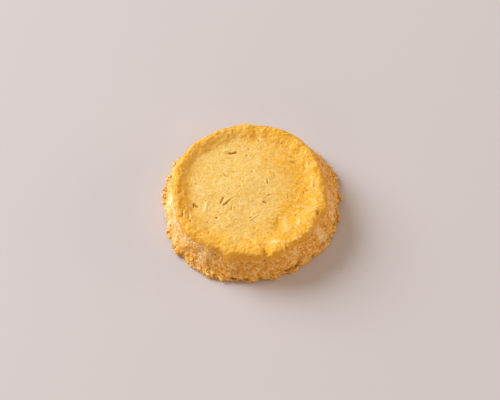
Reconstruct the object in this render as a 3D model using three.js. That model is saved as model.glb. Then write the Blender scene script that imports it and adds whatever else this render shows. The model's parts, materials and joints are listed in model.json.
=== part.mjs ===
// Round shortbread biscuit: one baked piece with a shallow dished top, a rolled rim and a rough side
// that flares out to a ragged foot. Millimetres, +Z up, origin on the table under the biscuit's middle.
import * as THREE from "three";
import { mergeVertices } from "three/addons/utils/BufferGeometryUtils.js";

// Driving sizes
const HEIGHT = 12; // table to the top of the rim
const FOOT_RADIUS = 29.3; // widest ring, just above the table
const FOOT_RISE = 1.2; // how far the widest ring stands above the table
const FLAT_RADIUS = 27.3; // the flat underside
const RIM_RADIUS = 23.7; // highest ring of the rim
const RIM_ROLL = 1.6; // rounding from the top of the rim into the side
const FLARE = 1.7; // above 1, the side is hollow and kicks out at the foot
const DISH_DEPTH = 1.45; // rim down to the floor of the dish
const DISH_SLOPE = 5.6; // width of the slope from the rim down to that floor
const DISH_BEND = 0.85; // below 1, the slope falls off sooner inside the rim
const DISH_CROWN = 0.55; // how far the middle of the floor stands above its edge

// Steps round the biscuit, and along each stretch of its profile
const STEPS_ROUND = 180;
const DISH_STEPS = 4;
const SLOPE_STEPS = 7;
const ROLL_STEPS = 4;
const SIDE_STEPS = 11;
const FOOT_STEPS = 3;

// Unevenness of the outline: waves round the biscuit, their reach and the azimuth of one crest
const FOOT_WAVES = [
  { count: 1, reach: 0.35, azimuth: 22 },
  { count: 2, reach: 0.33, azimuth: 22 },
  { count: 3, reach: 0.46, azimuth: 9 },
  { count: 4, reach: 0.3, azimuth: 53 },
];
const RIM_WAVES = [
  { count: 1, reach: 0.27, azimuth: 138 },
  { count: 2, reach: 0.24, azimuth: 23 },
  { count: 5, reach: 0.26, azimuth: 61 },
  { count: 6, reach: 0.32, azimuth: 39 },
];
const DISH_WAVES = [
  { count: 1, reach: 1.2, azimuth: 145 },
  { count: 3, reach: 0.35, azimuth: 40 },
  { count: 5, reach: 0.3, azimuth: 10 },
];
// Clods of crumb that stand out at the foot, and gaps between them
const CLODS = [
  { azimuth: 142, reach: 0.6, width: 2.0 },
  { azimuth: 173, reach: 1.0, width: 2.2 },
  { azimuth: 188, reach: -0.5, width: 2.4 },
  { azimuth: 204, reach: 1.1, width: 1.1 },
  { azimuth: 217, reach: 0.5, width: 2.4 },
  { azimuth: 231, reach: 0.9, width: 1.8 },
  { azimuth: 243, reach: 1.0, width: 2.2 },
  { azimuth: 251, reach: 0.9, width: 1.8 },
  { azimuth: 265, reach: -0.7, width: 1.6 },
  { azimuth: 279, reach: -0.7, width: 1.4 },
  { azimuth: 299, reach: 0.9, width: 2.2 },
  { azimuth: 329, reach: 1.3, width: 2.2 },
  { azimuth: 350, reach: 0.9, width: 2.4 },
  { azimuth: 4, reach: 0.7, width: 1.2 },
  { azimuth: 21, reach: 1.0, width: 2.4 },
  { azimuth: 63, reach: 0.8, width: 2.2 },
  { azimuth: 104, reach: 0.7, width: 3.0 },
];
const CLOD_RISE = 2.4; // how high a clod reaches up the side
// Swellings of the rim, and of the side at half its height
const RIM_BUMPS = [
  { azimuth: 66, reach: 0.45, width: 7.0 },
  { azimuth: 95, reach: 0.6, width: 1.4 },
  { azimuth: 139, reach: 0.45, width: 3.0 },
  { azimuth: 224, reach: 0.5, width: 3.0 },
  { azimuth: 240, reach: 0.8, width: 3.0 },
  { azimuth: 256, reach: 1.7, width: 2.2 },
  { azimuth: 287, reach: 1.2, width: 4.0 },
  { azimuth: 303, reach: 1.2, width: 5.0 },
  { azimuth: 320, reach: 1.3, width: 4.5 },
  { azimuth: 344, reach: 0.9, width: 1.8 },
];
const BULGES = [
  { azimuth: 30, reach: 1.0, width: 7.5 },
  { azimuth: 215, reach: 0.4, width: 6.0 },
];
// Dents in the rim, each a soft saddle across it
const RIM_DENTS = [
  { azimuth: 283, reach: -0.9, width: 1.0 },
  { azimuth: 213, reach: -0.4, width: 2.0 },
  { azimuth: 310, reach: -0.4, width: 3.0 },
  { azimuth: 100, reach: -0.3, width: 2.2 },
  { azimuth: 52, reach: -0.3, width: 3.0 },
];

// Lumps: coarse and fine, by the size of a lump and how far it stands out
const CRAGS = [
  { size: 3.2, reach: 0.5 },
  { size: 1.5, reach: 0.2 },
];
const FOOT_RAGGED = [{ size: 1.7, reach: 0.7 }]; // extra raggedness of the widest ring
const RIM_LUMPS = [{ size: 2.6, reach: 0.3 }];
const TOP_SWELLS = [{ size: 6.5, reach: 0.25 }]; // gentle ups and downs of the top
const SLOPE_CRUMPLE = [{ size: 2.1, reach: 0.2 }]; // crumpled skin on the dish's slope

// Belts round the top, measured inward from the rim (0) to the foot of the dish's slope (1)
const RIM_BELT = { middle: -0.05, spread: 0.35 };
const SLOPE_BELT = { middle: 0.4, spread: 0.45 };
const DISH_BELT = { middle: 1, spread: 0.55 };

const CRAGS_START = 0.65; // below the top of the rim, where the side's crags begin
const CRAGS_FADE = 2.5; // height over which they grow to their full reach
const UNDER_SHARE = 0.5; // share of the foot's crags that the edge of the underside follows
const LOWEST = 0.12; // nothing but the flat underside comes nearer to the table than this
const ASIDE = -0.6; // the clods reach further to the right, so the whole stands this far to the left

const COLOUR = 0xeab45a;
const ROUGHNESS = 0.75;

const degrees = THREE.MathUtils.degToRad;
const ease = (t) => THREE.MathUtils.smoothstep(t, 0, 1);

// A fixed random value from -1 to 1 for each point of a whole-number grid
function gridValue(i, j, k) {
  const s = Math.sin(i * 127.1 + j * 311.7 + k * 74.7) * 43758.5453;
  return 2 * (s - Math.floor(s)) - 1;
}

// Smooth lumps from -1 to 1, about one lump in every `size` millimetres
function lumps(point, size) {
  const [x, y, z] = [point.x / size, point.y / size, point.z / size];
  const [i, j, k] = [Math.floor(x), Math.floor(y), Math.floor(z)];
  const [u, v, w] = [ease(x - i), ease(y - j), ease(z - k)];
  let sum = 0;
  for (let corner = 0; corner < 8; corner++) {
    const [a, b, c] = [corner & 1, (corner >> 1) & 1, corner >> 2];
    const share = (a ? u : 1 - u) * (b ? v : 1 - v) * (c ? w : 1 - w);
    sum += share * gridValue(i + a, j + b, k + c);
  }
  return sum;
}

// Sum of lumps of several sizes
function relief(rows, point) {
  return rows.reduce((sum, row) => sum + row.reach * lumps(point, row.size), 0);
}

// Sum of the waves at an azimuth in radians
function waves(rows, azimuth) {
  const height = (row) => row.reach * Math.cos(row.count * (azimuth - degrees(row.azimuth)));
  return rows.reduce((sum, row) => sum + height(row), 0);
}

// Bell-shaped bumps round a ring: each full at its own azimuth, falling off over its width
function bells(rows, azimuth, radius) {
  let sum = 0;
  for (const row of rows) {
    const turn = azimuth - degrees(row.azimuth);
    const away = radius * Math.atan2(Math.sin(turn), Math.cos(turn));
    sum += row.reach * Math.exp(-((away / row.width) ** 2));
  }
  return sum;
}

// How strongly a place on the top belongs to a belt
function within(belt, inward) {
  return Math.exp(-(((inward - belt.middle) / belt.spread) ** 2));
}

// Half section of the plain form, from the middle of the underside to the middle of the top
function sectionPoints() {
  const points = [new THREE.Vector2(0, 0), new THREE.Vector2(FLAT_RADIUS, 0)];
  for (let n = 1; n <= FOOT_STEPS; n++) {
    const turn = (n / FOOT_STEPS) * (Math.PI / 2);
    const out = (FOOT_RADIUS - FLAT_RADIUS) * Math.sin(turn);
    points.push(new THREE.Vector2(FLAT_RADIUS + out, FOOT_RISE * (1 - Math.cos(turn))));
  }
  const [topRadius, topRise] = [RIM_RADIUS + RIM_ROLL, HEIGHT - RIM_ROLL];
  for (let n = 1; n <= SIDE_STEPS; n++) {
    const up = n / SIDE_STEPS;
    const out = (FOOT_RADIUS - topRadius) * (1 - up) ** FLARE;
    points.push(new THREE.Vector2(topRadius + out, FOOT_RISE + (topRise - FOOT_RISE) * up));
  }
  for (let n = 1; n <= ROLL_STEPS; n++) {
    const turn = (n / ROLL_STEPS) * (Math.PI / 2);
    const out = RIM_ROLL * Math.cos(turn);
    points.push(new THREE.Vector2(RIM_RADIUS + out, topRise + RIM_ROLL * Math.sin(turn)));
  }
  for (let n = 1; n <= SLOPE_STEPS; n++) {
    const down = n / SLOPE_STEPS;
    const drop = DISH_DEPTH * ease(down ** DISH_BEND);
    points.push(new THREE.Vector2(RIM_RADIUS - DISH_SLOPE * down, HEIGHT - drop));
  }
  const floorRadius = RIM_RADIUS - DISH_SLOPE;
  const floorRise = HEIGHT - DISH_DEPTH;
  for (let n = 1; n <= DISH_STEPS; n++) {
    const inward = n / DISH_STEPS;
    points.push(new THREE.Vector2(floorRadius * (1 - inward), floorRise + DISH_CROWN * ease(inward)));
  }
  return points;
}

// How far the open crumb of the side stands out at a point
function sideRelief(point, azimuth, onSide, up) {
  const atFoot = 1 - ease(point.z / CLOD_RISE);
  const ragged = relief(FOOT_RAGGED, point) + bells(CLODS, azimuth, FOOT_RADIUS);
  const swollen = Math.sin(Math.PI * up) * bells(BULGES, azimuth, FOOT_RADIUS);
  return onSide * relief(CRAGS, point) + atFoot * ragged + swollen;
}

// How far the skin of the top stands out at a point
function topRelief(point, azimuth, inward) {
  const uneven = relief(RIM_LUMPS, point) + bells(RIM_DENTS, azimuth, RIM_RADIUS);
  const onRim = within(RIM_BELT, inward) * uneven;
  const onSlope = within(SLOPE_BELT, inward) * relief(SLOPE_CRUMPLE, point);
  return relief(TOP_SWELLS, point) + onRim + onSlope;
}

// Moves one point of the plain form to where the uneven biscuit has it
function shaped(point, normal) {
  const radius = Math.hypot(point.x, point.y);
  if (point.z === 0 && radius < FLAT_RADIUS / 2) return point; // middle of the underside
  const azimuth = Math.atan2(point.y, point.x);
  const inward = (RIM_RADIUS - radius) / DISH_SLOPE;
  const up = THREE.MathUtils.clamp(point.z / (HEIGHT - RIM_ROLL), 0, 1);
  const below = (HEIGHT - CRAGS_START - point.z) / CRAGS_FADE;
  const onSide = radius > RIM_RADIUS ? THREE.MathUtils.clamp(below, 0, 1) : 0;

  const footOut = waves(FOOT_WAVES, azimuth);
  const belt = radius > RIM_RADIUS ? 1 : within(RIM_BELT, inward); // the side swells with the rim
  const rimOut = waves(RIM_WAVES, azimuth) + belt * bells(RIM_BUMPS, azimuth, RIM_RADIUS);
  let out = ease(radius / RIM_RADIUS) * THREE.MathUtils.lerp(footOut, rimOut, ease(up));
  if (point.z > HEIGHT / 2) out += within(DISH_BELT, inward) * waves(DISH_WAVES, azimuth);

  // outwards along the plain form's own normal
  let along = topRelief(point, azimuth, inward);
  if (onSide > 0) {
    along = sideRelief(point, azimuth, onSide, up);
    along += within(RIM_BELT, inward) * (1 - onSide) * relief(RIM_LUMPS, point);
  }
  const moved = point.clone();
  if (point.z === 0) {
    // the edge of the underside follows the foot but stays flat on the table
    const scale = 1 + (out + along * UNDER_SHARE) / radius;
    return moved.set(point.x * scale, point.y * scale, 0);
  }
  moved.addScaledVector(normal, along);
  moved.x += out * Math.cos(azimuth);
  moved.y += out * Math.sin(azimuth);
  moved.z = Math.max(moved.z, LOWEST);
  return moved;
}

// The whole biscuit as one closed body: the plain form is turned, its seam joined and each point moved
function shortbreadGeometry() {
  const lathe = new THREE.LatheGeometry(sectionPoints(), STEPS_ROUND);
  lathe.rotateX(Math.PI / 2);
  lathe.deleteAttribute("normal");
  lathe.deleteAttribute("uv");
  const body = mergeVertices(lathe, 1e-3);
  body.computeVertexNormals();
  const [places, normals] = [body.getAttribute("position"), body.getAttribute("normal").clone()];
  const [place, normal] = [new THREE.Vector3(), new THREE.Vector3()];
  for (let n = 0; n < places.count; n++) {
    place.fromBufferAttribute(places, n);
    normal.fromBufferAttribute(normals, n);
    places.setXYZ(n, ...shaped(place, normal).toArray());
  }
  body.translate(ASIDE, 0, 0);
  body.computeVertexNormals();
  return body;
}

const baked = new THREE.MeshStandardMaterial({ color: COLOUR, roughness: ROUGHNESS, metalness: 0 });
const shortbread = new THREE.Mesh(shortbreadGeometry(), baked);
shortbread.name = "shortbread";

const biscuit = new THREE.Group();
biscuit.add(shortbread);

export default biscuit;
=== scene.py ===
"""Round shortbread biscuit: a pale dished top inside a rolled golden rim, and a rough, sugared side that
flares out to a ragged foot. Everything is in metres, +Z up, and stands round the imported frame."""

import json
import math
from collections import namedtuple
from itertools import product

import bmesh
import bpy
import numpy as np
from mathutils import Matrix, Vector, noise

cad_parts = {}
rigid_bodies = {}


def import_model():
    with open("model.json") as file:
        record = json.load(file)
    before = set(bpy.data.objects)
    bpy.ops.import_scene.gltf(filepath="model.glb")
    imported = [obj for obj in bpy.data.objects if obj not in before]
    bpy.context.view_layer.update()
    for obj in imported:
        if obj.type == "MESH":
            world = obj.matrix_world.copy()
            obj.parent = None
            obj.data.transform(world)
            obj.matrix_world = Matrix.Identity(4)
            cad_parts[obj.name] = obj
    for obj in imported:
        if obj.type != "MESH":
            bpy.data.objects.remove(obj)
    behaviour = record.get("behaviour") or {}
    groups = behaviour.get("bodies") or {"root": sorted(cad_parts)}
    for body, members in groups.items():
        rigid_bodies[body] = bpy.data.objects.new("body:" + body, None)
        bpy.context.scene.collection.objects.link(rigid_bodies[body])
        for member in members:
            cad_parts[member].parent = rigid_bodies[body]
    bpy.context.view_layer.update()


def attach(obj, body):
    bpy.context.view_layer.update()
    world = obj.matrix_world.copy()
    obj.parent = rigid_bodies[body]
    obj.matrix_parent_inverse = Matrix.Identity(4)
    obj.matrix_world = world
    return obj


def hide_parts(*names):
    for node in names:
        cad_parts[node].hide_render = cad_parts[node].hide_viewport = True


bl_info = {
    "name": "Shortbread Biscuit",
    "version": (1, 0, 0),
    "blender": (4, 5, 0),
    "location": "3D View > Sidebar > Shortbread",
    "description": "Builds a round shortbread biscuit with its crumbs, sugar and studio stage",
    "category": "Add Mesh",
}

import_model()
# The frame's names for the CAD node and its body
NODE = "shortbread"
BODY = "root"

BODY_PIECE = "biscuit_body"
MM = 0.001
HAIR = 0.001 * MM  # places closer than this are one place

# Steps round the biscuit, and along each stretch of its profile, before the finer stretches are split again
STEPS_ROUND = 300
UNDER_STEPS = 7
FOOT_STEPS = 3
SIDE_STEPS = 22
ROLL_STEPS = 5
SLOPE_STEPS = 13
DISH_STEPS = 56

# Waves round the outline: count, reach and the azimuth of one crest in degrees
FOOT_WAVES = ((1, 0.35 * MM, 22), (2, 0.33 * MM, 22), (3, 0.46 * MM, 9), (4, 0.3 * MM, 53))
RIM_WAVES = ((1, 0.27 * MM, 138), (2, 0.24 * MM, 23), (5, 0.26 * MM, 61), (6, 0.32 * MM, 39))
DISH_WAVES = ((1, 1.2 * MM, 145), (3, 0.35 * MM, 40), (5, 0.3 * MM, 10))
# Clods of crumb that stand out at the foot, and gaps where the reach is below 0: azimuth in degrees, reach
# and width
CLODS = (
    (142, 0.3 * MM, 2.0 * MM),
    (173, 0.6 * MM, 2.2 * MM),
    (185, -0.3 * MM, 1.2 * MM),
    (190, -0.3 * MM, 2.4 * MM),
    (204, 1.1 * MM, 1.1 * MM),
    (217, 0.5 * MM, 2.4 * MM),
    (231, 0.9 * MM, 1.8 * MM),
    (243, 1.0 * MM, 2.2 * MM),
    (251, 0.9 * MM, 1.8 * MM),
    (265, -0.7 * MM, 1.6 * MM),
    (279, -0.7 * MM, 1.4 * MM),
    (286, 0.5 * MM, 1.2 * MM),
    (299, 0.9 * MM, 2.2 * MM),
    (315, -0.3 * MM, 1.4 * MM),
    (329, 1.3 * MM, 2.2 * MM),
    (350, 0.9 * MM, 2.4 * MM),
    (4, 0.7 * MM, 1.2 * MM),
    (10, -0.5 * MM, 1.2 * MM),
    (21, 1.0 * MM, 2.4 * MM),
    (63, 0.4 * MM, 2.2 * MM),
    (104, 0.7 * MM, 3.0 * MM),
)
CLOD_RISE = 2.4 * MM  # they fade out this far above the table
# Swellings of the rim, and of the side at half its height, in the same way
RIM_BUMPS = (
    (66, 0.45 * MM, 7.0 * MM),
    (95, 0.6 * MM, 1.4 * MM),
    (139, 0.45 * MM, 3.0 * MM),
    (224, 0.5 * MM, 3.0 * MM),
    (240, 0.8 * MM, 3.0 * MM),
    (256, 1.7 * MM, 2.2 * MM),
    (287, 1.2 * MM, 4.0 * MM),
    (303, 1.2 * MM, 5.0 * MM),
    (320, 1.3 * MM, 4.5 * MM),
    (344, 0.9 * MM, 1.8 * MM),
)
BULGES = ((30, 1.0 * MM, 7.5 * MM), (215, 0.4 * MM, 6.0 * MM))
# Dents in the rim: azimuth in degrees, depth and width
RIM_DENTS = (
    (283, 0.9 * MM, 1.0 * MM),
    (213, 0.4 * MM, 2.0 * MM),
    (310, 0.4 * MM, 3.0 * MM),
    (100, 0.3 * MM, 2.2 * MM),
    (52, 0.3 * MM, 3.0 * MM),
)
# Lumps, coarse to fine: their size and how far they stand out
CRAGS = ((3.2 * MM, 0.5 * MM), (1.5 * MM, 0.18 * MM), (0.7 * MM, 0.08 * MM))
FOOT_RAGGED = ((1.7 * MM, 0.7 * MM), (0.9 * MM, 0.5 * MM))
RIM_LUMPS = ((2.6 * MM, 0.3 * MM), (1.2 * MM, 0.18 * MM))
TOP_SWELLS = ((6.5 * MM, 0.25 * MM), (2.2 * MM, 0.07 * MM), (0.9 * MM, 0.05 * MM))
SLOPE_CRUMPLE = ((2.1 * MM, 0.2 * MM), (1.1 * MM, 0.14 * MM), (0.6 * MM, 0.08 * MM))
# Pebbles of crumb packed side by side: their size and how far they stand out
PEBBLES = ((1.9 * MM, 0.12 * MM), (1.0 * MM, 0.14 * MM), (0.55 * MM, 0.06 * MM))
LEAST_CRUMBLY = 0.01  # pebbles are slow to work out, so smoother places than this get none
# The roughness of the side starts this far below the top of the rim, and is in full this much lower
SIDE_DROP = 0.65 * MM
SIDE_BLEND = 2.5 * MM
# Belts round the top: middle and width, on a scale from the rim (0) to the foot of the slope (1)
RIM_BELT = (-0.05, 0.35)
RIM_PEBBLE_BELT = (-0.1, 0.4)
RIM_GRIT_BELT = (-0.05, 0.3)
SLOPE_BELT = (0.4, 0.45)
DISH_BELT = (1, 0.55)
# The crumbly belt round the foot, by rise and width
FOOT_BELT = (1.3 * MM, 0.9 * MM)
# Outside this share of its flat radius the underside follows the foot's outline and this share of its relief
UNDER_STILL = 0.5
UNDER_SHARE = 0.5
LOWEST_SHARE = 0.1  # nothing round the underside hangs lower than this share of the foot's rise

# Slits, gashes and pits in the top, painted darker by their depth as shade, and ridges where the depth is
# below 0: across, back, length, width and depth in millimetres, and turn in degrees
MARKS = (
    (-5.4, 14.1, 3.1, 0.5, 0.7, 10),
    (-5.9, 12.1, 2.2, 0.54, 0.12, 3),
    (-7.5, 13.6, 1.7, 0.47, 0.1, 19),
    (-8.7, -4.4, 2.5, 0.77, 0.42, 65),
    (-7.3, -5.3, 3.0, 0.54, 0.45, 45),
    (-5.6, -3.8, 2.1, 0.4, 0.12, 35),
    (-7.9, 5.3, 1.7, 0.4, 0.3, -55),
    (-7.1, 4.8, 1.2, 0.37, 0.25, -9),
    (-9.1, 4.9, 0.8, 0.34, 0.2, -10),
    (-10.3, 5.2, 0.7, 0.4, 0.12, -15),
    (-5.1, 6.6, 1.0, 0.44, 0.25, -26),
    (-4.4, 6.2, 0.9, 0.4, 0.18, -14),
    (-0.3, 15.4, 0.8, 0.5, 0.22, -90),
    (-0.8, 12.9, 0.9, 0.4, 0.3, 1),
    (-1.4, 18.9, 0.7, 0.47, 0.22, 90),
    (3.1, 18.6, 0.7, 0.5, 0.28, -10),
    (10.8, 17.3, 0.6, 0.44, 0.25, -87),
    (-14.6, 16.3, 0.7, 0.44, 0.18, -86),
    (-12.7, 14.2, 0.7, 0.5, 0.15, 10),
    (14.8, 10.5, 1.8, 1, 0.33, -4),
    (0.9, 6.5, 0.8, 0.47, 0.25, -4),
    (6.1, 2.9, 2.0, 0.44, 0.38, -75),
    (6.5, -2.4, 0.6, 0.47, 0.25, -11),
    (5.4, -3.5, 0.6, 0.4, 0.18, 2),
    (5.3, -5.3, 1.6, 0.57, 0.45, -29),
    (10.0, -7.4, 1.0, 0.4, 0.2, 0),
    (12.7, -3.1, 2.2, 0.4, 0.18, -78),
    (16.0, -3.7, 0.6, 0.37, 0.2, -78),
    (18.9, -1.2, 0.7, 0.44, 0.3, -89),
    (19.2, 0.2, 0.7, 0.47, 0.18, 88),
    (16.6, 6.0, 0.6, 0.4, 0.18, -75),
    (13.5, 6.7, 0.6, 0.34, 0.14, -90),
    (16.9, 9.3, 0.6, 0.37, 0.15, -79),
    (21.9, -9.8, 1.7, 1.3, 0.6, -83),
    (-17.5, -6.0, 1.6, 0.4, 0.5, -83),
    (-16.7, -6.0, 1.8, 0.5, 0.6, -43),
    (-10.4, -10.7, 0.9, 0.57, 0.42, -45),
    (-5.8, -7.4, 1.5, 0.34, 0.25, 88),
    (-9.2, -7.0, 0.6, 0.34, 0.2, 90),
    (-9.2, -9.6, 0.6, 0.34, 0.18, 89),
    (-9.5, -14.5, 1.1, 0.34, 0.2, -89),
    (-7.2, -15.2, 0.5, 0.34, 0.22, -26),
    (-13.0, -16.8, 1.7, 0.47, 0.3, 87),
    (-10.1, -19.2, 0.8, 0.44, 0.22, -88),
    (-19.0, -10.4, 1.3, 0.37, 0.4, -87),
    (-21.0, -9.9, 2.2, 0.54, 0.33, -84),
    (-18.3, -12.3, 0.9, 0.4, 0.3, -83),
    (-19.7, -8.8, 0.7, 0.44, 0.22, -64),
    (0.5, -10.8, 0.9, 0.3, 0.25, 52),
    (8.8, -14.5, 0.6, 0.4, 0.18, 85),
    (1.9, -14.8, 1.0, 0.34, 0.14, -1),
    (0.6, -20.4, 0.9, 0.34, 0.18, -90),
    (16.3, -11.1, 0.7, 0.37, 0.18, 84),
    (14.7, -6.9, 0.7, 0.34, 0.18, -80),
    (4.7, -23.4, 2.6, 0.54, 0.3, -88),
    (11.4, -21.8, 1.4, 0.5, 0.22, 83),
    (18.2, 8.9, 0.8, 0.47, 0.15, -80),
    (1.1, -3.8, 0.4, 0.34, 0.1, -43),
    (-1.0, -4.0, 0.5, 0.34, 0.16, -78),
    (-16.4, -2.9, 0.6, 0.37, 0.2, -88),
    (-7.6, 14.7, 2.2, 0.74, -0.25, 22),
    (-7.6, -4.7, 3.1, 0.5, -0.22, 40),
    (-13.7, -6.8, 3.4, 1, -0.26, 84),
    (5.3, 2.7, 1.4, 0.6, -0.18, -82),
    (1.3, -10.8, 4.4, 0.37, -0.17, 36),
    (16.3, -4.8, 1.8, 0.5, -0.2, -24),
    (16.8, -13.5, 2.4, 0.57, -0.2, 75),
    (8.2, -20.4, 2.7, 0.87, -0.25, 1),
    (10.8, -22.1, 1.8, 0.5, -0.22, 83),
    (21.3, -7.5, 2.8, 0.67, -0.1, 49),
    (20.3, -9.2, 0.7, 0.6, -0.2, 23),
    (5.9, -2.0, 0.7, 0.47, -0.2, 12),
    (-20.3, -9.7, 2.7, 0.8, -0.12, 89),
    (-18.3, -9.7, 4.3, 1.0, -0.12, -83),
    (-14.0, 11.0, 3.4, 0.67, -0.1, 37),
    (4.0, 18.7, 2.2, 0.94, -0.15, -12),
    (-11.3, 1.9, 2.4, 0.67, -0.1, -77),
    (-2.4, 2.0, 1.9, 0.54, -0.12, -76),
    (19.3, -14.6, 1.4, 0.47, -0.12, 17),
    (17.3, -10.8, 0.6, 0.54, -0.2, -1),
    (16.1, -18.3, 0.7, 0.54, -0.18, 2),
    (11.9, -17.0, 1.1, 0.67, -0.15, -84),
    (19.6, 9.0, 2.8, 0.5, -0.14, -72),
    (18.9, 12.4, 2.4, 0.47, -0.12, -77),
    (21.2, 1.7, 3.9, 0.6, -0.16, -88),
    (19.1, -7.3, 1.6, 0.47, -0.16, -26),
    (1.1, -16.8, 2.5, 0.54, -0.08, 28),
    (12.7, -15.0, 6.0, 2.3, -0.1, 89),
    (10.0, -14.2, 7.0, 1.5, 0.14, 84),
)
# Pits in the side, painted darker by their depth as shade: azimuth in degrees, then rise, width, height and
# depth in millimetres
SIDE_PITS = (
    (281, 8.9, 1.6, 0.5, 0.8),
    (294, 7.3, 0.8, 0.6, 0.4),
    (227, 8.5, 0.6, 0.5, 0.4),
    (10, 9.3, 0.6, 1.0, 0.4),
    (213, 9.4, 1.5, 0.5, 0.3),
    (217, 8.4, 0.6, 1.0, 0.3),
    (260, 1.6, 3.2, 0.8, 0.9),
    (268, 1.5, 2.6, 0.7, 0.8),
    (277, 1.6, 1.6, 0.7, 0.8),
    (296, 1.6, 2.4, 0.8, 0.9),
    (303, 1.8, 2.0, 0.7, 0.8),
    (316, 1.6, 1.6, 0.7, 0.8),
    (243, 2.6, 1.4, 0.6, 0.5),
    (226, 2.4, 1.4, 0.5, 0.5),
)
# Tongues of golden skin that come down the side: azimuth in degrees, reach and width
SKIN_TONGUES = ((254, 1.6 * MM, 4.0 * MM), (270, 1.6 * MM, 5.0 * MM), (312, 0.5 * MM, 8.0 * MM))
MARK_MARGIN = 0.5 * MM
MARK_RAGGED = (0.8 * MM, 0.16 * MM)  # size of the lumps that bend a mark's outline, and their reach
PALE_RISE = 0.3 * MM  # a ridge this high is pale all through
DARK_DEPTH = 0.8 * MM  # a mark this deep gets its painted shade in full

# Pale skin in the middle of the top: its centre, how much it is drawn out backwards, and where it fades
PALE_CENTRE = (-3.8 * MM, 0.0 * MM)
PALE_DRAWN = 1.28
PALE_FADE = (9.5 * MM, 20.5 * MM)
PALE_RAGGED = ((5 * MM, 2 * MM), (1.7 * MM, 1 * MM))  # lumps that bend its outline: size and reach
# Lower edge of the golden skin: how far below the top of the rim, the lumps that bend it, and its fade
SKIN_DROP = 1.2 * MM
SKIN_RAGGED = ((2.5 * MM, 0.6 * MM), (1.1 * MM, 0.3 * MM))
SKIN_FADE = 1.0 * MM
# Places on the side where sugar gathered, most of them where the side faces a light, so their pale sugar
# also paints that light's sheen: azimuth in degrees and width
SUGAR_AND_SHEEN_PATCHES = (
    (150, 14.0 * MM),
    (188, 8.0 * MM),
    (210, 7.0 * MM),
    (235, 6.0 * MM),
    (303, 3.0 * MM),
    (328, 3.5 * MM),
    (0, 10.0 * MM),
    (45, 12.0 * MM),
)
# Cover of sugar on the side: outside those places, its blotches by size and strength, what a place adds, and
# the share that is lost at the foot
SUGAR_BARE = -0.5
SUGAR_BLOTCHES = ((4.5 * MM, 0.5), (1.8 * MM, 0.4))
SUGAR_GATHERED = 0.85
FOOT_SUGAR_LOSS = 0.5
# Spots of colour, coarse to fine: their size, how much they are drawn out, turn in degrees, the noise's value
# where a spot starts and where it is full, its share and its colour. Flour and fine sugar are drawn coarser
# than they are, so that they show. Rows at a size of FINE_CRUMB that are neither drawn out nor turned use the
# same noise as its bump: their dark colours are painted shade in its hollows, their pale ones painted
# highlights
DISH_SPOTS = (
    (6.0 * MM, 1.0, 0, 0.45, 0.70, 0.3, "rim"),
    (2.6 * MM, 2.2, 35, 0.48, 0.70, 0.5, "flour"),
    (1.3 * MM, 1.6, 35, 0.50, 0.30, 0.25, "recess"),
    # the next two rows follow the bump's noise: painted shade in its hollows, painted highlights on its tops
    (0.8 * MM, 1.0, 0, 0.50, 0.30, 0.2, "recess"),
    (0.8 * MM, 1.0, 0, 0.53, 0.70, 0.5, "sugar"),
    (0.45 * MM, 1.0, 0, 0.48, 0.34, 0.25, "recess"),
    (0.45 * MM, 1.0, 0, 0.52, 0.66, 0.35, "flour"),
)
RIM_SPOTS = (
    (3.2 * MM, 1.0, 0, 0.50, 0.70, 0.2, "recess"),
    (1.8 * MM, 1.6, 35, 0.48, 0.70, 0.4, "flour"),
    # the next three rows follow the bump's noise: painted shade in its hollows, painted highlights on its
    # tops
    (1.3 * MM, 1.0, 0, 0.50, 0.30, 0.25, "recess"),
    (0.8 * MM, 1.0, 0, 0.50, 0.30, 0.2, "recess"),
    (0.8 * MM, 1.0, 0, 0.53, 0.70, 0.35, "sugar"),
    (0.45 * MM, 1.0, 0, 0.48, 0.34, 0.25, "recess"),
    (0.45 * MM, 1.0, 0, 0.52, 0.66, 0.2, "flour"),
)
CRUMB_SPOTS = (
    (3.4 * MM, 1.0, 0, 0.50, 0.66, 0.35, "recess"),
    (1.8 * MM, 1.0, 0, 0.50, 0.66, 0.35, "dust"),
    # the next three rows follow the bump's noise: painted shade in its hollows, painted highlights on its
    # tops
    (1.3 * MM, 1.0, 0, 0.48, 0.34, 0.45, "recess"),
    (0.8 * MM, 1.0, 0, 0.47, 0.34, 0.35, "deep_shade"),
    (0.8 * MM, 1.0, 0, 0.51, 0.66, 0.75, "dust"),
)
SUGAR_SPOTS = ((0.9 * MM, 1.0, 0, 0.42, 0.60, 0.8, "dust"),)
# Crumb that is too fine to model: its size and height, as bump. Spots of the same sizes paint shade in its
# hollows and highlights on its tops
FINE_CRUMB = ((1.3 * MM, 0.07 * MM), (0.8 * MM, 0.06 * MM))
NOISE_DETAIL = 3.0  # how many times the noise is laid over itself at half the size
# painted shade: the crumb's colour follows its pebbles, darker in the hollows between them and paler on their
# tops
PROUD_SPAN = (-0.6, 0.5)  # from a dark recess to the pale top of a pebble
# How much of its browning the foot shows, and how much painted shade the outer curve of the rim shows
FOOT_BROWNING_AND_RIM_SHADE = (("foot", 0.7), ("rim_curve_shade", 0.35))
# Pores in the top, painted as dark dots of shade: their spacing, where one is full and where it ends as
# shares of that, and its strength
PORE_SPACING = 3.4 * MM
PORE_SPAN = (0.05, 0.1)
PORE_SHARE = 0.7
FLOOR_GAP = 0.02 * MM  # what is scattered keeps this clear of the table
ASIDE = -0.6 * MM  # the clods reach further to the right, so the whole stands this far to the left

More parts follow.
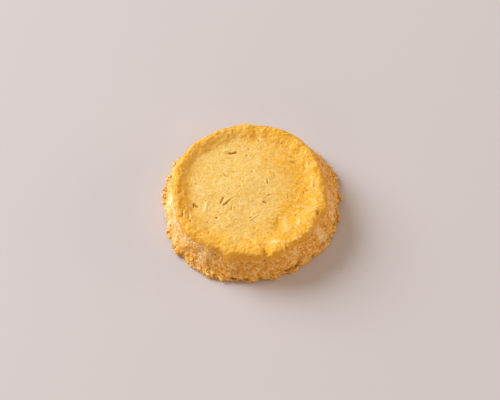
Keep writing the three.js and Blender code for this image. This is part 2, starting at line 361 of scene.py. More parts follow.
# What is scattered: zone of the body, least spacing, most per square metre, how far it is sunk in, or stands
# out where that is below 0, and seed
Lot = namedtuple("Lot", "zone spacing density sunk seed")
SIDE_GRAINS = Lot("gritty", 0.8 * MM, 1.1e6, 0.2 * MM, 11)
FOOT_CRUMBS = Lot("crumbs", 0.7 * MM, 3.0e6, -0.05 * MM, 29)
TOP_GRAINS = Lot("skin", 0.9 * MM, 0.35e6, 0.08 * MM, 37)
SUGAR_GRAINS = Lot("sugared", 0.5 * MM, 1.5e6, 0.08 * MM, 51)
RIM_GRIT = 0.12  # share of the side's grains that the rim has
# Crumbs at the foot: their share between the clods, and the reach of a clod that adds all of them
CRUMBS_BETWEEN = 0.25
CRUMBS_FULL = 0.8 * MM
FEW_LARGE = 2.0  # above 1, more are small than large
GRAIN_SHADE = (0.3, 0.8)  # darkest and palest, on the scale of PROUD_SPAN
# Grains: how many shapes, how fine and how deep their lumps are, how far apart the shapes lie in the noise,
# and how they are pressed
GRAIN_SHAPES = 6
GRAIN_FINENESS = 3.4
GRAIN_DEPTH = 1.1
GRAIN_STEP = 7.3
GRAIN_PRESSED = (1.25, 0.95, 0.7)
# Sugar crystals: how many shapes, the block, its worn edge, how it is stretched, and how much wider each is
# than the one before
SUGAR_SHAPES = 3
SUGAR_BLOCK = 0.8
SUGAR_WORN = 0.14
SUGAR_STRETCHED = (1.2, 0.9, 0.75)
SUGAR_WIDER = 0.1

# The plain form's vertices, and where each of them lies on the biscuit
Plain = namedtuple("Plain", "places normals azimuth radius rise inward up under outside topside")


def linear(hex_colour):
    """Linear RGBA of an sRGB colour written as #RRGGBB."""
    shares = [int(hex_colour[n : n + 2], 16) / 255 for n in (1, 3, 5)]
    return [c / 12.92 if c <= 0.04045 else ((c + 0.055) / 1.055) ** 2.4 for c in shares] + [1.0]


def length(name, millimetres, description):
    """A length that is given in millimetres and kept in metres."""
    return bpy.props.FloatProperty(
        name=name, description=description, default=millimetres * MM, precision=5, unit="LENGTH"
    )


def colour(name, hex_colour, description):
    """A colour that is given as sRGB hex and kept linear."""
    return bpy.props.FloatVectorProperty(
        name=name, description=description, default=linear(hex_colour), size=4, min=0, max=1, subtype="COLOR"
    )


def angle(name, degrees, description):
    """An angle that is given in degrees and kept in radians."""
    return bpy.props.FloatProperty(
        name=name, description=description, default=math.radians(degrees), subtype="ANGLE"
    )


def number(name, value, description):
    """A plain number that is never below 0."""
    return bpy.props.FloatProperty(name=name, description=description, default=value, min=0)


class BiscuitSizes(bpy.types.PropertyGroup):
    """Sizes of the biscuit before baking made it uneven"""

    height: length("Height", 12, "Table to the top of the rim")
    foot_radius: length("Foot Radius", 29.3, "Widest ring, just above the table")
    foot_rise: length("Foot Rise", 1.2, "How far the widest ring stands above the table")
    flat_radius: length("Flat Radius", 27.3, "Radius of the flat underside")
    rim_radius: length("Rim Radius", 23.7, "Radius of the highest ring of the rim")
    rim_roll: length("Rim Roll", 1.6, "Rounding from the top of the rim into the side")
    flare: number("Flare", 1.7, "Above 1 the side is hollow and kicks out at the foot")
    dish_depth: length("Dish Depth", 1.45, "Rim down to the floor of the dish")
    dish_slope: length("Dish Slope", 5.6, "Width of the slope from the rim down to the floor")
    dish_bend: number("Dish Bend", 0.85, "Below 1 the slope falls off sooner inside the rim")
    dish_crown: length("Dish Crown", 0.55, "How far the middle of the floor stands above its edge")


class CrumbSizes(bpy.types.PropertyGroup):
    """Smallest and largest of what lies on the biscuit"""

    grain_small: length("Grain, Smallest", 0.3, "Smallest grain baked onto the side")
    grain_large: length("Grain, Largest", 1.0, "Largest grain baked onto the side")
    crumb_small: length("Crumb, Smallest", 0.5, "Smallest crumb at the foot")
    crumb_large: length("Crumb, Largest", 1.7, "Largest crumb at the foot")
    speck_small: length("Speck, Smallest", 0.2, "Smallest grain on the top")
    speck_large: length("Speck, Largest", 0.5, "Largest grain on the top")
    sugar_small: length("Sugar, Smallest", 0.2, "Smallest sugar crystal")
    sugar_large: length("Sugar, Largest", 0.5, "Largest sugar crystal")


class BiscuitColours(bpy.types.PropertyGroup):
    """Colours of the baked dough and of what lies on it"""

    dish: colour("Dish", "#FACB66", "Pale skin in the middle of the top")
    rim: colour("Rim", "#FCB51C", "Golden skin of the rim and the slope inside it")
    side: colour("Side", "#FFBF4A", "Open crumb of the side")
    # darker amber: painted shade in the hollows between pebbles, on the rim's outer curve and in the fine
    # crumb's hollows, and darker spots at random
    recess: colour("Recess", "#D08414", "Between the pebbles of crumb")
    # painted shade: the brown of the slits and pits, of the pores and of the hollows of the side's fine crumb
    deep_shade: colour("Toast", "#B06A18", "In slits and pits, where the dough browned")
    flour: colour("Flour", "#FFDC90", "Pale flakes and grains")
    # also painted sheen on the sides that face the lights, and painted highlights on the tops of the side's
    # fine crumb
    dust: colour("Dust", "#FFDCA0", "Fine sugar that baked onto the side")
    # also painted highlights on the tops of the fine crumb of the dish and the rim
    sugar: colour("Sugar", "#FFE9C4", "Sugar crystals and single bright grains")


class StageSettings(bpy.types.PropertyGroup):
    """Floor, light and camera"""

    floor: colour("Floor", "#D6CBC9", "Matt pale table")
    sky: colour("Sky", "#FFF2E4", "Light from all round")
    sky_strength: number("Sky Strength", 0.4, "Strength of the light from all round")
    key: colour("Key", "#E9F4FF", "Light from the window")
    key_power: bpy.props.FloatProperty(
        name="Key Power", description="Power of the key light", default=120, min=0, unit="POWER"
    )
    key_turn: angle("Key Azimuth", 148, "Where the key light stands")
    key_rise: angle("Key Elevation", 30, "How high the key light stands")
    fill: colour("Fill", "#FFE2B8", "Light thrown back from the front")
    fill_power: bpy.props.FloatProperty(
        name="Fill Power", description="Power of the fill light on the right", default=37, min=0, unit="POWER"
    )
    fill_turn: angle("Fill Azimuth", 3, "Where the fill light on the right stands")
    bounce_power: bpy.props.FloatProperty(
        name="Bounce Power", description="Power of the fill light in front", default=18, min=0, unit="POWER"
    )
    bounce_turn: angle("Bounce Azimuth", 248, "Where the fill light in front stands")
    fill_rise: angle("Fill Elevation", 9, "How high both fill lights stand")
    lamp_distance: length("Lamp Distance", 3000, "From the biscuit to each light")
    lamp_size: length("Lamp Size", 2000, "Width of each light")
    camera_distance: length("Camera Distance", 430, "From the biscuit's foot to the camera")
    camera_rise: angle("Camera Elevation", 59.3, "Angle above the table")
    aim_rise: length("Aim Rise", 3.6, "Height of the point that the camera looks at")
    aim_side: length("Aim Side", -0.4, "How far to the right the camera stands and looks")
    focal_length: number("Focal Length", 92.3, "Millimetres, on a sensor 36 mm wide")


def ease(t):
    """Smooth step from 0 to 1."""
    t = np.clip(t, 0, 1)
    return t * t * (3 - 2 * t)


def grid_value(i, j, k):
    """A fixed random value from -1 to 1 for each point of a whole-number grid."""
    s = np.sin(i * 127.1 + j * 311.7 + k * 74.7) * 43758.5453
    return 2 * (s - np.floor(s)) - 1


def lumps(places, size):
    """Smooth lumps from -1 to 1 at each place, about one lump in every size."""
    cell = places / size
    whole = np.floor(cell)
    part = ease(cell - whole)
    total = np.zeros(len(places))
    for corner in product((0, 1), repeat=3):
        share = np.prod(np.where(corner, part, 1 - part), axis=1)
        total += share * grid_value(*(whole + corner).T)
    return total


def relief(rows, places):
    """Sum of lumps of several sizes."""
    return sum(reach * lumps(places, size) for size, reach in rows)


def pebbles(rows, places):
    """Rounded pebbles at each place, packed side by side, of several sizes."""
    total = np.zeros(len(places))
    for size, reach in rows:
        near = np.array([noise.voronoi(Vector(place) / size)[0][0] for place in places])
        total += reach * (1 - 2 * np.clip(near, 0, 1))
    return total


def waves(rows, azimuth):
    """Sum of waves round the biscuit."""
    return sum(reach * np.cos(count * (azimuth - math.radians(crest))) for count, reach, crest in rows)


def belt(where, at, width):
    """Belt across a stretch: 1 in its middle, falling off over its width."""
    return np.exp(-(((where - at) / width) ** 2))


def bell(at, width, azimuth, radius):
    """Bell round a ring: 1 at its own azimuth, falling off over its width."""
    turn = azimuth - math.radians(at)
    return belt(radius * np.arctan2(np.sin(turn), np.cos(turn)), 0, width)


def bells(rows, azimuth, radius):
    """Sum of bells round a ring."""
    return sum(reach * bell(at, width, azimuth, radius) for at, reach, width in rows)


def section(sizes):
    """Half section of the plain form, from the middle of the underside to the middle of the top."""
    points = [(sizes.flat_radius * n / UNDER_STEPS, 0) for n in range(UNDER_STEPS + 1)]
    for n in range(1, FOOT_STEPS + 1):
        turn = n / FOOT_STEPS * math.pi / 2
        out = (sizes.foot_radius - sizes.flat_radius) * math.sin(turn)
        points.append((sizes.flat_radius + out, sizes.foot_rise * (1 - math.cos(turn))))
    top_radius = sizes.rim_radius + sizes.rim_roll
    top_rise = sizes.height - sizes.rim_roll
    for n in range(1, SIDE_STEPS + 1):
        up = n / SIDE_STEPS
        out = (sizes.foot_radius - top_radius) * (1 - up) ** sizes.flare
        points.append((top_radius + out, sizes.foot_rise + (top_rise - sizes.foot_rise) * up))
    for n in range(1, ROLL_STEPS + 1):
        turn = n / ROLL_STEPS * math.pi / 2
        roll = sizes.rim_roll
        points.append((sizes.rim_radius + roll * math.cos(turn), top_rise + roll * math.sin(turn)))
    for n in range(1, SLOPE_STEPS + 1):
        down = n / SLOPE_STEPS
        drop = sizes.dish_depth * float(ease(down**sizes.dish_bend))
        points.append((sizes.rim_radius - sizes.dish_slope * down, sizes.height - drop))
    floor_radius = sizes.rim_radius - sizes.dish_slope
    floor_rise = sizes.height - sizes.dish_depth
    for n in range(1, DISH_STEPS + 1):
        inward = n / DISH_STEPS
        points.append((floor_radius * (1 - inward), floor_rise + sizes.dish_crown * float(ease(inward))))
    return points


def mark_cover(mark, places, margin):
    """How far each place lies along and across a mark, in half lengths and half widths."""
    across, back, long, wide = (value * MM for value in mark[:4])
    turn = math.radians(mark[5])
    away = places[:, :2] - (across, back)
    along, aside = away @ (math.cos(turn), math.sin(turn)), away @ (-math.sin(turn), math.cos(turn))
    return along / (long / 2 + margin), aside / (wide / 2 + margin)


def split_edges(bm, chosen, cuts):
    """Splits the edges whose two ends are both chosen."""
    bm.verts.index_update()
    picked = chosen(np.array([v.co for v in bm.verts]))
    edges = [e for e in bm.edges if picked[e.verts[0].index] and picked[e.verts[1].index]]
    bmesh.ops.subdivide_edges(bm, edges=edges, cuts=cuts, use_grid_fill=True)


def near_mark(places):
    """Which places lie in a mark or within its margin."""
    return np.any([np.hypot(*mark_cover(mark, places, MARK_MARGIN)) < 1 for mark in MARKS], axis=0)


def plain_form(sizes):
    """The plain form: a grid is bent round to the half section, then split finer outside and at the marks."""
    bm = bmesh.new()
    profile = section(sizes)
    last = len(profile) - 1
    bmesh.ops.create_grid(bm, x_segments=STEPS_ROUND, y_segments=last, size=0.5)
    for vert in bm.verts:
        radius, rise = profile[round((vert.co.y + 0.5) * last)]
        turn = 2 * math.pi * (vert.co.x + 0.5)
        vert.co = (radius * math.cos(turn), radius * math.sin(turn), rise)
    bmesh.ops.remove_doubles(bm, verts=bm.verts, dist=HAIR)
    fine_radius = sizes.rim_radius - sizes.dish_slope
    split_edges(bm, lambda places: (np.hypot(*places[:, :2].T) > fine_radius) & (places[:, 2] > HAIR), cuts=1)
    split_edges(bm, lambda places: near_mark(places) & (places[:, 2] > sizes.height / 2), cuts=2)
    bmesh.ops.recalc_face_normals(bm, faces=bm.faces)
    return bm


def survey(bm, sizes):
    """Measures where each vertex of the plain form lies."""
    bm.normal_update()
    places = np.array([v.co for v in bm.verts])
    radius, rise = np.hypot(places[:, 0], places[:, 1]), places[:, 2]
    return Plain(
        places=places,
        normals=np.array([v.normal for v in bm.verts]),
        azimuth=np.arctan2(places[:, 1], places[:, 0]),
        radius=radius,
        rise=rise,
        inward=(sizes.rim_radius - radius) / sizes.dish_slope,  # 0 on the rim, 1 at the foot of the slope
        up=np.clip(rise / (sizes.height - sizes.rim_roll), 0, 1),
        under=rise < HAIR,
        outside=radius > sizes.rim_radius,
        topside=rise > sizes.height / 2,
    )


def pebble_relief(plain, on_side):
    """How far the pebbles of crumb stand out, on the side and on the rim."""
    crumbly = np.maximum(on_side, belt(plain.inward, *RIM_PEBBLE_BELT)) * ~plain.under
    rough = np.flatnonzero(crumbly > LEAST_CRUMBLY)
    grain = np.zeros(len(crumbly))
    grain[rough] = pebbles(PEBBLES, plain.places[rough])
    return crumbly * grain


def lump_relief(plain, on_side, on_rim, sizes):
    """How far the lumps, clods and dents stand out, on the side and on the top."""
    clods = relief(FOOT_RAGGED, plain.places) + bells(CLODS, plain.azimuth, sizes.foot_radius)
    side = on_side * relief(CRAGS, plain.places) + (1 - ease(plain.rise / CLOD_RISE)) * clods
    side += np.sin(np.pi * plain.up) * bells(BULGES, plain.azimuth, sizes.foot_radius)
    rim = relief(RIM_LUMPS, plain.places)
    on_slope = belt(plain.inward, *SLOPE_BELT)
    top = relief(TOP_SWELLS, plain.places) + on_slope * relief(SLOPE_CRUMPLE, plain.places)
    top += on_rim * (rim - bells(RIM_DENTS, plain.azimuth, sizes.rim_radius))
    return np.where(on_side > 0, side + on_rim * (1 - on_side) * rim, top)


def cut_marks(plain, on_side, along, sizes):
    """Cuts the slits and pits into the relief, and returns how much painted shade each place gets from them,
    darker the deeper they are, and how strongly it is a ridge.
    """
    shares = []
    for at, high, wide, tall, depth in SIDE_PITS:
        across = bell(at, wide * MM / 2, plain.azimuth, sizes.foot_radius)
        shares.append((across * belt(plain.rise, high * MM, tall * MM / 2) * on_side, depth * MM))
    size, reach = MARK_RAGGED
    bent = plain.places + reach * np.stack([lumps(plain.places + shift, size) for shift in range(3)], axis=1)
    for mark in MARKS:
        far, aside = mark_cover(mark, bent, 0)
        shares.append((np.exp(-(far**4) - aside**2) * plain.topside, mark[4] * MM))
    cut, ridge = np.zeros(len(along)), np.zeros(len(along))
    for share, depth in shares:
        along -= share * depth
        # painted shade in the slits and pits, darker the deeper they are
        cut = np.maximum(cut, share * min(depth / DARK_DEPTH, 1))
        ridge = np.maximum(ridge, share * min(-depth / PALE_RISE, 1))
    return cut, ridge


def outline_shift(plain, on_rim, sizes):
    """How far each place moves outwards with the waves and swellings of the foot, the rim and the dish."""
    outlines = (FOOT_WAVES, RIM_WAVES, DISH_WAVES)
    foot_out, rim_out, dish_out = (waves(rows, plain.azimuth) for rows in outlines)
    rim_out += bells(RIM_BUMPS, plain.azimuth, sizes.rim_radius) * np.where(plain.outside, 1, on_rim)
    out = ease(plain.radius / sizes.rim_radius) * (foot_out + (rim_out - foot_out) * ease(plain.up))
    return out + belt(plain.inward, *DISH_BELT) * dish_out * plain.topside


def moved_places(plain, along, out, sizes):
    """Where the uneven biscuit has each vertex: the underside stays flat and follows the foot's outline."""
    outward = np.stack([np.cos(plain.azimuth), np.sin(plain.azimuth), np.zeros(len(out))], axis=1)
    moved = plain.places + plain.normals * along[:, None]
    moved += outward * out[:, None]
    stretched = plain.radius > sizes.flat_radius * UNDER_STILL
    grown = 1 + (out + along * UNDER_SHARE) / np.maximum(plain.radius, HAIR) * stretched
    moved[plain.under] = plain.places[plain.under] * grown[plain.under][:, None]
    moved[~plain.under, 2] = np.maximum(moved[~plain.under, 2], sizes.foot_rise * LOWEST_SHARE)
    moved[:, 0] += ASIDE
    return moved


def colour_zones(plain, sizes):
    """Where the skin is golden, where the outer curve of the rim is painted darker as shade, where the open
    crumb of the side and the foot shows, and where sugar gathered on it, which also paints sheen on the sides
    that face the lights."""
    across, back = plain.places[:, 0] - PALE_CENTRE[0], (plain.places[:, 1] - PALE_CENTRE[1]) / PALE_DRAWN
    away = np.hypot(across, back) + relief(PALE_RAGGED, plain.places)
    edge = sizes.height - SKIN_DROP + relief(SKIN_RAGGED, plain.places)
    edge -= bells(SKIN_TONGUES, plain.azimuth, sizes.rim_radius)
    side = ease((edge - plain.rise) / SKIN_FADE) * plain.outside
    foot = belt(plain.rise, *FOOT_BELT) * plain.outside * ~plain.under
    gathered = sum(bell(at, width, plain.azimuth, sizes.foot_radius) for at, width in SUGAR_AND_SHEEN_PATCHES)
    patchy = ease(SUGAR_BARE + relief(SUGAR_BLOTCHES, plain.places) + SUGAR_GATHERED * gathered)
    return {
        "golden": ease((away - PALE_FADE[0]) / (PALE_FADE[1] - PALE_FADE[0])),
        # painted shade on the outer curve of the rim, where it turns down into the side
        "rim_curve_shade": ease((plain.radius - sizes.rim_radius) / sizes.rim_roll) * plain.topside,
        "side": side,
        "foot": foot,
        # sugar on the side, laid mostly where it faces the lights, so it also paints their sheen
        "sugared": side * patchy * ~plain.under * (1 - FOOT_SUGAR_LOSS * foot),
    }


def scatter_zones(plain, zones, sizes):
    """Where grains, crumbs at the foot and grains on the top may lie."""
    rim_grit = RIM_GRIT * belt(plain.inward, *RIM_GRIT_BELT)
    clods = bells(CLODS, plain.azimuth, sizes.foot_radius)
    return {
        "gritty": np.maximum(zones["side"], rim_grit) * ~plain.under,
        "crumbs": zones["foot"] * np.clip(CRUMBS_BETWEEN + clods / CRUMBS_FULL, 0, 1),
        "skin": plain.topside * (plain.inward > 0),
    }


def shape_biscuit(bm, sizes):
    """Moves each vertex of the plain form to where the uneven biscuit has it, and gives it its zones."""
    plain = survey(bm, sizes)
    on_side = np.clip((sizes.height - SIDE_DROP - plain.rise) / SIDE_BLEND, 0, 1) * plain.outside
    on_rim = belt(plain.inward, *RIM_BELT)
    proud = pebble_relief(plain, on_side)
    along = lump_relief(plain, on_side, on_rim, sizes) + proud
    cut, ridge = cut_marks(plain, on_side, along, sizes)
    out = outline_shift(plain, on_rim, sizes)
    for vert, place in zip(bm.verts, moved_places(plain, along, out, sizes)):
        vert.co = place
    zones = colour_zones(plain, sizes)
    zones.update(scatter_zones(plain, zones, sizes))
    zones.update(proud=proud / sum(reach for _, reach in PEBBLES), cut=cut, ridge=ridge)
    return zones


def add_node(tree, kind, inputs, output=None, **settings):
    """Adds a node with its settings and its inputs as values or links, and returns the output asked for."""
    made = tree.nodes.new(kind)
    for name, value in settings.items():
        setattr(made, name, value)
    sockets = {socket.identifier: socket for socket in made.inputs}
    for name, value in inputs.items():
        if isinstance(value, bpy.types.NodeSocket):
            tree.links.new(value, sockets[name])
        else:
            sockets[name].default_value = value
    return next((socket for socket in made.outputs if socket.identifier == output), None)


def new_material(name):
    """An empty material and its node tree."""
    material = bpy.data.materials.new(name)
    material.use_nodes = True
    material.node_tree.nodes.clear()
    return material, material.node_tree


def spotted(tree, base, spots, colours):
    """Lays spots over a colour, coarse to fine, and returns the colour that comes out."""
    place = add_node(tree, "ShaderNodeTexCoord", {}, "Object")
    for size, drawn, turn, start, full, share, name in spots:
        placing = {"Vector": place, "Rotation": (0, 0, math.radians(-turn)), "Scale": (1 / drawn, 1, 1)}
        turned = add_node(tree, "ShaderNodeMapping", placing, "Vector", vector_type="TEXTURE")
        cloud = {"Vector": turned, "Scale": 1 / size, "Detail": NOISE_DETAIL}
        value = add_node(tree, "ShaderNodeTexNoise", cloud, "Fac")
        span = {"Value": value, "From Min": start, "From Max": full, "To Min": 0.0, "To Max": share}
        cover = add_node(tree, "ShaderNodeMapRange", span, "Result")
        blend = {"Factor_Float": cover, "A_Color": base, "B_Color": getattr(colours, name)}
        base = add_node(tree, "ShaderNodeMix", blend, "Result_Color", data_type="RGBA")
    return base


def fine_crumb_bump(tree, place):
    """The normal of crumb that is too fine to model, coarse to fine."""
    normal = None
    for size, height in FINE_CRUMB:
        cloud = {"Vector": place, "Scale": 1 / size, "Detail": NOISE_DETAIL}
        bumps = {"Height": add_node(tree, "ShaderNodeTexNoise", cloud, "Fac"), "Distance": height}
        if normal:
            bumps["Normal"] = normal
        normal = add_node(tree, "ShaderNodeBump", bumps, "Normal")
    return normal


def baked_dough(colours):
    """Butter shortbread dough, pressed and baked: matt, slightly fatty and let through by light, paler where
    the skin is thick and golden where it stood nearest the heat."""
    material, tree = new_material("baked_dough")
    place = add_node(tree, "ShaderNodeTexCoord", {}, "Object")
    zones = {
        name: add_node(tree, "ShaderNodeAttribute", {}, "Fac", attribute_name=name)
        for name in ("golden", "side", "proud", "sugared", "foot", "rim_curve_shade", "cut", "ridge")
    }
    for name, share in FOOT_BROWNING_AND_RIM_SHADE:
        scaled = {"Value": zones[name], "Value_001": share}
        zones[name] = add_node(tree, "ShaderNodeMath", scaled, "Value", operation="MULTIPLY")
    # painted shade: pebbles stand out pale over the darker amber of the hollows between them. The foot takes
    # the golden colour of the rim, and fine sugar fills the crumb where it gathered, which also paints sheen
    # where the side faces the lights
    span = {"Value": zones["proud"], "From Min": PROUD_SPAN[0], "From Max": PROUD_SPAN[1]}
    proud = add_node(tree, "ShaderNodeMapRange", span, "Result")
    open_crumb = colours.recess
    crumb_layers = (
        (proud, colours.side),
        (zones["foot"], colours.rim),
        (zones["sugared"], colours.dust),
    )
    for factor, over in crumb_layers:
        blend = {"Factor_Float": factor, "A_Color": open_crumb, "B_Color": over}
        open_crumb = add_node(tree, "ShaderNodeMix", blend, "Result_Color", data_type="RGBA")
    tones = {
        "skin": spotted(tree, colours.dish, DISH_SPOTS, colours),
        "rim": spotted(tree, colours.rim, RIM_SPOTS, colours),
        "crumb": spotted(tree, open_crumb, CRUMB_SPOTS, colours),
    }
    # Pores: the small round holes that steam left, painted here as dark dots of shade
    spacing = {"Vector": place, "Scale": 1 / PORE_SPACING}
    pore_shade = add_node(
        tree,
        "ShaderNodeMapRange",
        {
            "Value": add_node(tree, "ShaderNodeTexVoronoi", spacing, "Distance"),
            "From Min": PORE_SPAN[0],
            "From Max": PORE_SPAN[1],
            "To Min": PORE_SHARE,
            "To Max": 0.0,
        },
        "Result",
    )
    layers = (
        (zones["golden"], "skin", "rim"),
        # painted shade: the outer curve of the rim darkens towards the recess colour
        (zones["rim_curve_shade"], "skin", colours.recess),
        (zones["side"], "skin", "crumb"),
        (zones["ridge"], "skin", colours.flour),
        (pore_shade, "skin", colours.deep_shade),
        # painted shade in the slits and pits
        (zones["cut"], "skin", colours.deep_shade),
    )
    for factor, under, over in layers:
        blend = {"Factor_Float": factor, "A_Color": tones[under], "B_Color": tones.get(over) or over}
        tones[under] = add_node(tree, "ShaderNodeMix", blend, "Result_Color", data_type="RGBA")
    shader = add_node(
        tree,
        "ShaderNodeBsdfPrincipled",
        {
            "Base Color": tones["skin"],
            "Roughness": 0.6,
            "IOR": 1.4,
            "Specular IOR Level": 0.25,
            "Subsurface Weight": 0.05,
            "Subsurface Radius": (1.0, 0.45, 0.12),
            "Subsurface Scale": 1.0 * MM,
            "Normal": fine_crumb_bump(tree, place),
        },
        "BSDF",
    )
    add_node(tree, "ShaderNodeOutputMaterial", {"Surface": shader})
    return material


def sugar_crystal(colours):
    """Granulated sugar: clear crystals with bright facets, seen against the dough that they stick to."""
    material, tree = new_material("sugar_crystal")
    tone = spotted(tree, colours.sugar, SUGAR_SPOTS, colours)
    shader = add_node(
        tree,
        "ShaderNodeBsdfPrincipled",
        {
            "Base Color": tone,
            "Roughness": 0.25,
            "IOR": 1.56,
            "Subsurface Weight": 0.3,
            "Subsurface Radius": (1.0, 0.7, 0.45),
            "Subsurface Scale": 0.5 * MM,
        },
        "BSDF",
    )
    add_node(tree, "ShaderNodeOutputMaterial", {"Surface": shader})
    return material


def finished(name, mesh, material):
    """Makes a mesh a piece that rides on the body."""
    mesh.materials.clear()
    mesh.materials.append(material)
    piece = bpy.data.objects.new(name, mesh)
    bpy.context.scene.collection.objects.link(piece)
    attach(piece, BODY)
    return piece


def mesh_of(name, bm):
    """Turns a bmesh into a mesh."""
    mesh = bpy.data.meshes.new(name)
    bm.to_mesh(mesh)
    bm.free()
    return mesh


def grain_shape(which, rounds):
    """An uneven lump of crumb, one unit across: a small ball pushed in and out, and pressed."""
    bm = bmesh.new()
    bmesh.ops.create_icosphere(bm, subdivisions=rounds, radius=0.5)
    for vert in bm.verts:
        place = vert.co * GRAIN_FINENESS + Vector((GRAIN_STEP * which, 0, 0))
        vert.co *= 1 + GRAIN_DEPTH * noise.noise(place)
    bmesh.ops.scale(bm, vec=GRAIN_PRESSED, verts=bm.verts)
    return bm


def sugar_shape(which, rounds):
    """A sugar crystal, one unit across: a small block with its edges worn."""
    bm = bmesh.new()
    bmesh.ops.create_cube(bm, size=SUGAR_BLOCK)
    bmesh.ops.bevel(
        bm, geom=bm.edges, offset=SUGAR_WORN, segments=rounds, affect="EDGES", profile=0.5, material=-1
    )
    along, across, high = SUGAR_STRETCHED
    bmesh.ops.scale(bm, vec=(along, across + SUGAR_WIDER * which, high), verts=bm.verts)
    return bm


def template_shapes(kind, shape, rounds, count):
    """A collection of a few shapes of one kind, out of the scene."""
    shapes = bpy.data.collections.new(kind)
    for n in range(count):
        name = f"{kind}_shape_{n}"
        shapes.objects.link(bpy.data.objects.new(name, mesh_of(name, shape(n, rounds))))
    return shapes


def scatter_tree(shapes, lot, small, large):
    """Geometry nodes that set shapes on a mesh where a zone is strong, sunk in and turned at random."""
    tree = bpy.data.node_groups.new("scatter", "GeometryNodeTree")
    tree.interface.new_socket("Geometry", in_out="INPUT", socket_type="NodeSocketGeometry")
    tree.interface.new_socket("Geometry", in_out="OUTPUT", socket_type="NodeSocketGeometry")
    ground = tree.nodes.new("NodeGroupInput").outputs[0]
    share = add_node(
        tree, "GeometryNodeInputNamedAttribute", {"Name": lot.zone}, "Attribute", data_type="FLOAT"
    )
    points = add_node(
        tree,
        "GeometryNodeDistributePointsOnFaces",
        {
            "Mesh": ground,
            "Distance Min": lot.spacing,
            "Density Max": lot.density,
            "Density Factor": share,
            "Seed": lot.seed,
        },
        "Points",
        distribute_method="POISSON",
    )
    outward = next(socket for socket in points.node.outputs if socket.identifier == "Normal")
    inward = add_node(
        tree, "ShaderNodeVectorMath", {"Vector": outward, "Scale": -lot.sunk}, "Vector", operation="SCALE"
    )
    points = add_node(tree, "GeometryNodeSetPosition", {"Geometry": points, "Offset": inward}, "Geometry")
    kinds = add_node(
        tree,
        "GeometryNodeCollectionInfo",
        {"Collection": shapes, "Separate Children": True, "Reset Children": True},
        "Instances",
    )
    turn = add_node(
        tree,
        "FunctionNodeRandomValue",
        {"Max": (2 * math.pi,) * 3, "Seed": lot.seed + 1},
        "Value",
        data_type="FLOAT_VECTOR",
    )
    draw = add_node(tree, "FunctionNodeRandomValue", {"Seed": lot.seed + 2}, "Value_001")
    few_large = add_node(
        tree, "ShaderNodeMath", {"Value": draw, "Value_001": FEW_LARGE}, "Value", operation="POWER"
    )
    span = {"Value": few_large, "To Min": small, "To Max": large}
    size = add_node(tree, "ShaderNodeMapRange", span, "Result")
    pick = add_node(
        tree,
        "FunctionNodeRandomValue",
        {"Min_002": 0, "Max_002": len(shapes.objects) - 1, "Seed": lot.seed + 3},
        "Value_002",
        data_type="INT",
    )
    set_down = add_node(
        tree,
        "GeometryNodeInstanceOnPoints",
        {
            "Points": points,
            "Instance": kinds,
            "Pick Instance": True,
            "Instance Index": pick,
            "Rotation": turn,
            "Scale": size,
        },
        "Instances",
    )
    shades = {"Min_001": GRAIN_SHADE[0], "Max_001": GRAIN_SHADE[1], "Seed": lot.seed + 4}
    shade = add_node(tree, "FunctionNodeRandomValue", shades, "Value_001")
    shaded = add_node(
        tree,
        "GeometryNodeStoreNamedAttribute",
        {"Geometry": set_down, "Name": "proud", "Value": shade},
        "Geometry",
        data_type="FLOAT",
        domain="INSTANCE",
    )
    real = add_node(tree, "GeometryNodeRealizeInstances", {"Geometry": shaded}, "Geometry")
    tree.links.new(real, tree.nodes.new("NodeGroupOutput").inputs[0])
    return tree


def scattered(name, shapes, lot, small, large):
    """One mesh of all the shapes that are scattered on the body, kept clear of the table."""
    tree = scatter_tree(shapes, lot, small, large)
    holder = bpy.data.objects.new(name, bpy.data.objects[BODY_PIECE].data.copy())
    bpy.context.scene.collection.objects.link(holder)
    holder.modifiers.new("scatter", "NODES").node_group = tree
    mesh = bpy.data.meshes.new_from_object(holder.evaluated_get(bpy.context.evaluated_depsgraph_get()))
    if not mesh.polygons:
        raise RuntimeError(f"nothing was scattered for {name}")
    places = np.empty(len(mesh.vertices) * 3, dtype=np.float32)
    mesh.vertices.foreach_get("co", places)
    places[2::3] = np.maximum(places[2::3], FLOOR_GAP)
    mesh.vertices.foreach_set("co", places)
    for spare in (holder, *shapes.objects):
        bpy.data.objects.remove(spare)
    bpy.data.collections.remove(shapes)
    bpy.data.node_groups.remove(tree)
    return mesh


class SHORTBREAD_OT_body(bpy.types.Operator):
    """Make the biscuit itself, from its flat underside to its dished top"""

    bl_idname = "shortbread.body"
    bl_label = "Biscuit Body"

    def execute(self, context):
        sizes = context.scene.biscuit_sizes
        bm = plain_form(sizes)
        zones = shape_biscuit(bm, sizes)
        mesh = mesh_of(BODY_PIECE, bm)
        mesh.shade_smooth()
        for zone, values in zones.items():
            values = values.astype(np.float32)
            mesh.attributes.new(zone, "FLOAT", "POINT").data.foreach_set("value", values)
        piece = finished(BODY_PIECE, mesh, baked_dough(context.scene.biscuit_colours))
        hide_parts(NODE)
        return {"FINISHED"}


class SHORTBREAD_OT_crumbs(bpy.types.Operator):
    """Set grains on the side and the top, and crumbs round the foot"""

    bl_idname = "shortbread.crumbs"
    bl_label = "Crumbs"

    def execute(self, context):
        sizes = context.scene.crumb_sizes
        lots = (
            ("side_grains", 1, SIDE_GRAINS, sizes.grain_small, sizes.grain_large),
            ("foot_crumbs", 2, FOOT_CRUMBS, sizes.crumb_small, sizes.crumb_large),
            ("top_grains", 1, TOP_GRAINS, sizes.speck_small, sizes.speck_large),
        )
        for name, rounds, lot, small, large in lots:
            shapes = template_shapes(name, grain_shape, rounds, GRAIN_SHAPES)
            mesh = scattered(name, shapes, lot, small, large)
            mesh.shade_smooth()
            finished(name, mesh, bpy.data.objects[BODY_PIECE].active_material)
        return {"FINISHED"}


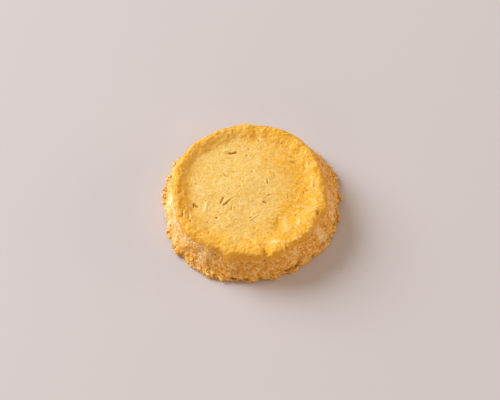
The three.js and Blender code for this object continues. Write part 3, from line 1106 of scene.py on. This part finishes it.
class SHORTBREAD_OT_sugar(bpy.types.Operator):
    """Set sugar crystals on the side"""

    bl_idname = "shortbread.sugar"
    bl_label = "Sugar"

    def execute(self, context):
        sizes = context.scene.crumb_sizes
        shapes = template_shapes("sugar", sugar_shape, 1, SUGAR_SHAPES)
        mesh = scattered("sugar_grains", shapes, SUGAR_GRAINS, sizes.sugar_small, sizes.sugar_large)
        mesh.shade_flat()
        finished("sugar_grains", mesh, sugar_crystal(context.scene.biscuit_colours))
        return {"FINISHED"}


def heading(turn, rise, far):
    """The point that stands so far off at an azimuth and an elevation."""
    return Vector((math.cos(turn) * math.cos(rise), math.sin(turn) * math.cos(rise), math.sin(rise))) * far


def stand(name, data, place, aim):
    """Stands a light or a camera at a place and turns it to look at a point."""
    thing = bpy.data.objects.new(name, data)
    turned = (place - aim).to_track_quat("Z", "Y").to_matrix().to_4x4()
    thing.matrix_world = Matrix.Translation(place) @ turned
    bpy.context.scene.collection.objects.link(thing)
    return thing


class SHORTBREAD_OT_stage(bpy.types.Operator):
    """Make the pale floor, the soft studio light and the camera"""

    bl_idname = "shortbread.stage"
    bl_label = "Studio Stage"

    def execute(self, context):
        settings = context.scene.biscuit_stage
        # a table painted matt: it takes soft shade and hardly mirrors
        material, tree = new_material("matt_table")
        shader = add_node(
            tree, "ShaderNodeBsdfPrincipled", {"Base Color": settings.floor, "Roughness": 0.6}, "BSDF"
        )
        add_node(tree, "ShaderNodeOutputMaterial", {"Surface": shader})
        bm = bmesh.new()
        bmesh.ops.create_circle(bm, cap_ends=True, segments=96, radius=settings.lamp_distance)
        mesh = mesh_of("table", bm)
        mesh.materials.append(material)
        table = bpy.data.objects.new("table", mesh)
        context.scene.collection.objects.link(table)

        world = bpy.data.worlds.new("studio")
        world.use_nodes = True
        world.node_tree.nodes["Background"].inputs["Color"].default_value = settings.sky
        world.node_tree.nodes["Background"].inputs["Strength"].default_value = settings.sky_strength
        context.scene.world = world
        lamps = (
            ("key", settings.key, settings.key_power, settings.key_turn, settings.key_rise),
            ("fill", settings.fill, settings.fill_power, settings.fill_turn, settings.fill_rise),
            ("bounce", settings.fill, settings.bounce_power, settings.bounce_turn, settings.fill_rise),
        )
        for name, tint, power, turn, rise in lamps:
            light = bpy.data.lights.new(name, "AREA")
            light.shape = "DISK"
            light.size = settings.lamp_size
            light.energy = power
            light.color = tint[:3]
            lamp = stand(name, light, heading(turn, rise, settings.lamp_distance), Vector())
            lamp.visible_camera = False

        camera = bpy.data.cameras.new("camera")
        camera.lens = settings.focal_length
        aside = Vector((settings.aim_side, 0, 0))
        place = heading(-math.pi / 2, settings.camera_rise, settings.camera_distance) + aside
        aim = Vector((0, 0, settings.aim_rise)) + aside
        context.scene.camera = stand("camera", camera, place, aim)
        context.scene.view_settings.view_transform = "Standard"
        return {"FINISHED"}


OPERATORS = (
    SHORTBREAD_OT_body,
    SHORTBREAD_OT_crumbs,
    SHORTBREAD_OT_sugar,
    SHORTBREAD_OT_stage,
)


class SHORTBREAD_PT_tools(bpy.types.Panel):
    """Lists the pieces of the biscuit"""

    bl_label = "Shortbread Biscuit"
    bl_space_type = "VIEW_3D"
    bl_region_type = "UI"
    bl_category = "Shortbread"

    def draw(self, context):
        for operator in OPERATORS:
            self.layout.operator(operator.bl_idname)


GROUPS = {
    "biscuit_sizes": BiscuitSizes,
    "crumb_sizes": CrumbSizes,
    "biscuit_colours": BiscuitColours,
    "biscuit_stage": StageSettings,
}


def register():
    for kind in (*GROUPS.values(), *OPERATORS, SHORTBREAD_PT_tools):
        bpy.utils.register_class(kind)
    for name, group in GROUPS.items():
        setattr(bpy.types.Scene, name, bpy.props.PointerProperty(type=group))


def unregister():
    for name in GROUPS:
        delattr(bpy.types.Scene, name)
    for kind in (SHORTBREAD_PT_tools, *reversed(OPERATORS), *reversed(GROUPS.values())):
        bpy.utils.unregister_class(kind)


def main():
    register()
    bpy.ops.shortbread.body()
    bpy.ops.shortbread.crumbs()
    bpy.ops.shortbread.sugar()
    bpy.ops.shortbread.stage()


if __name__ == "__main__":
    main()
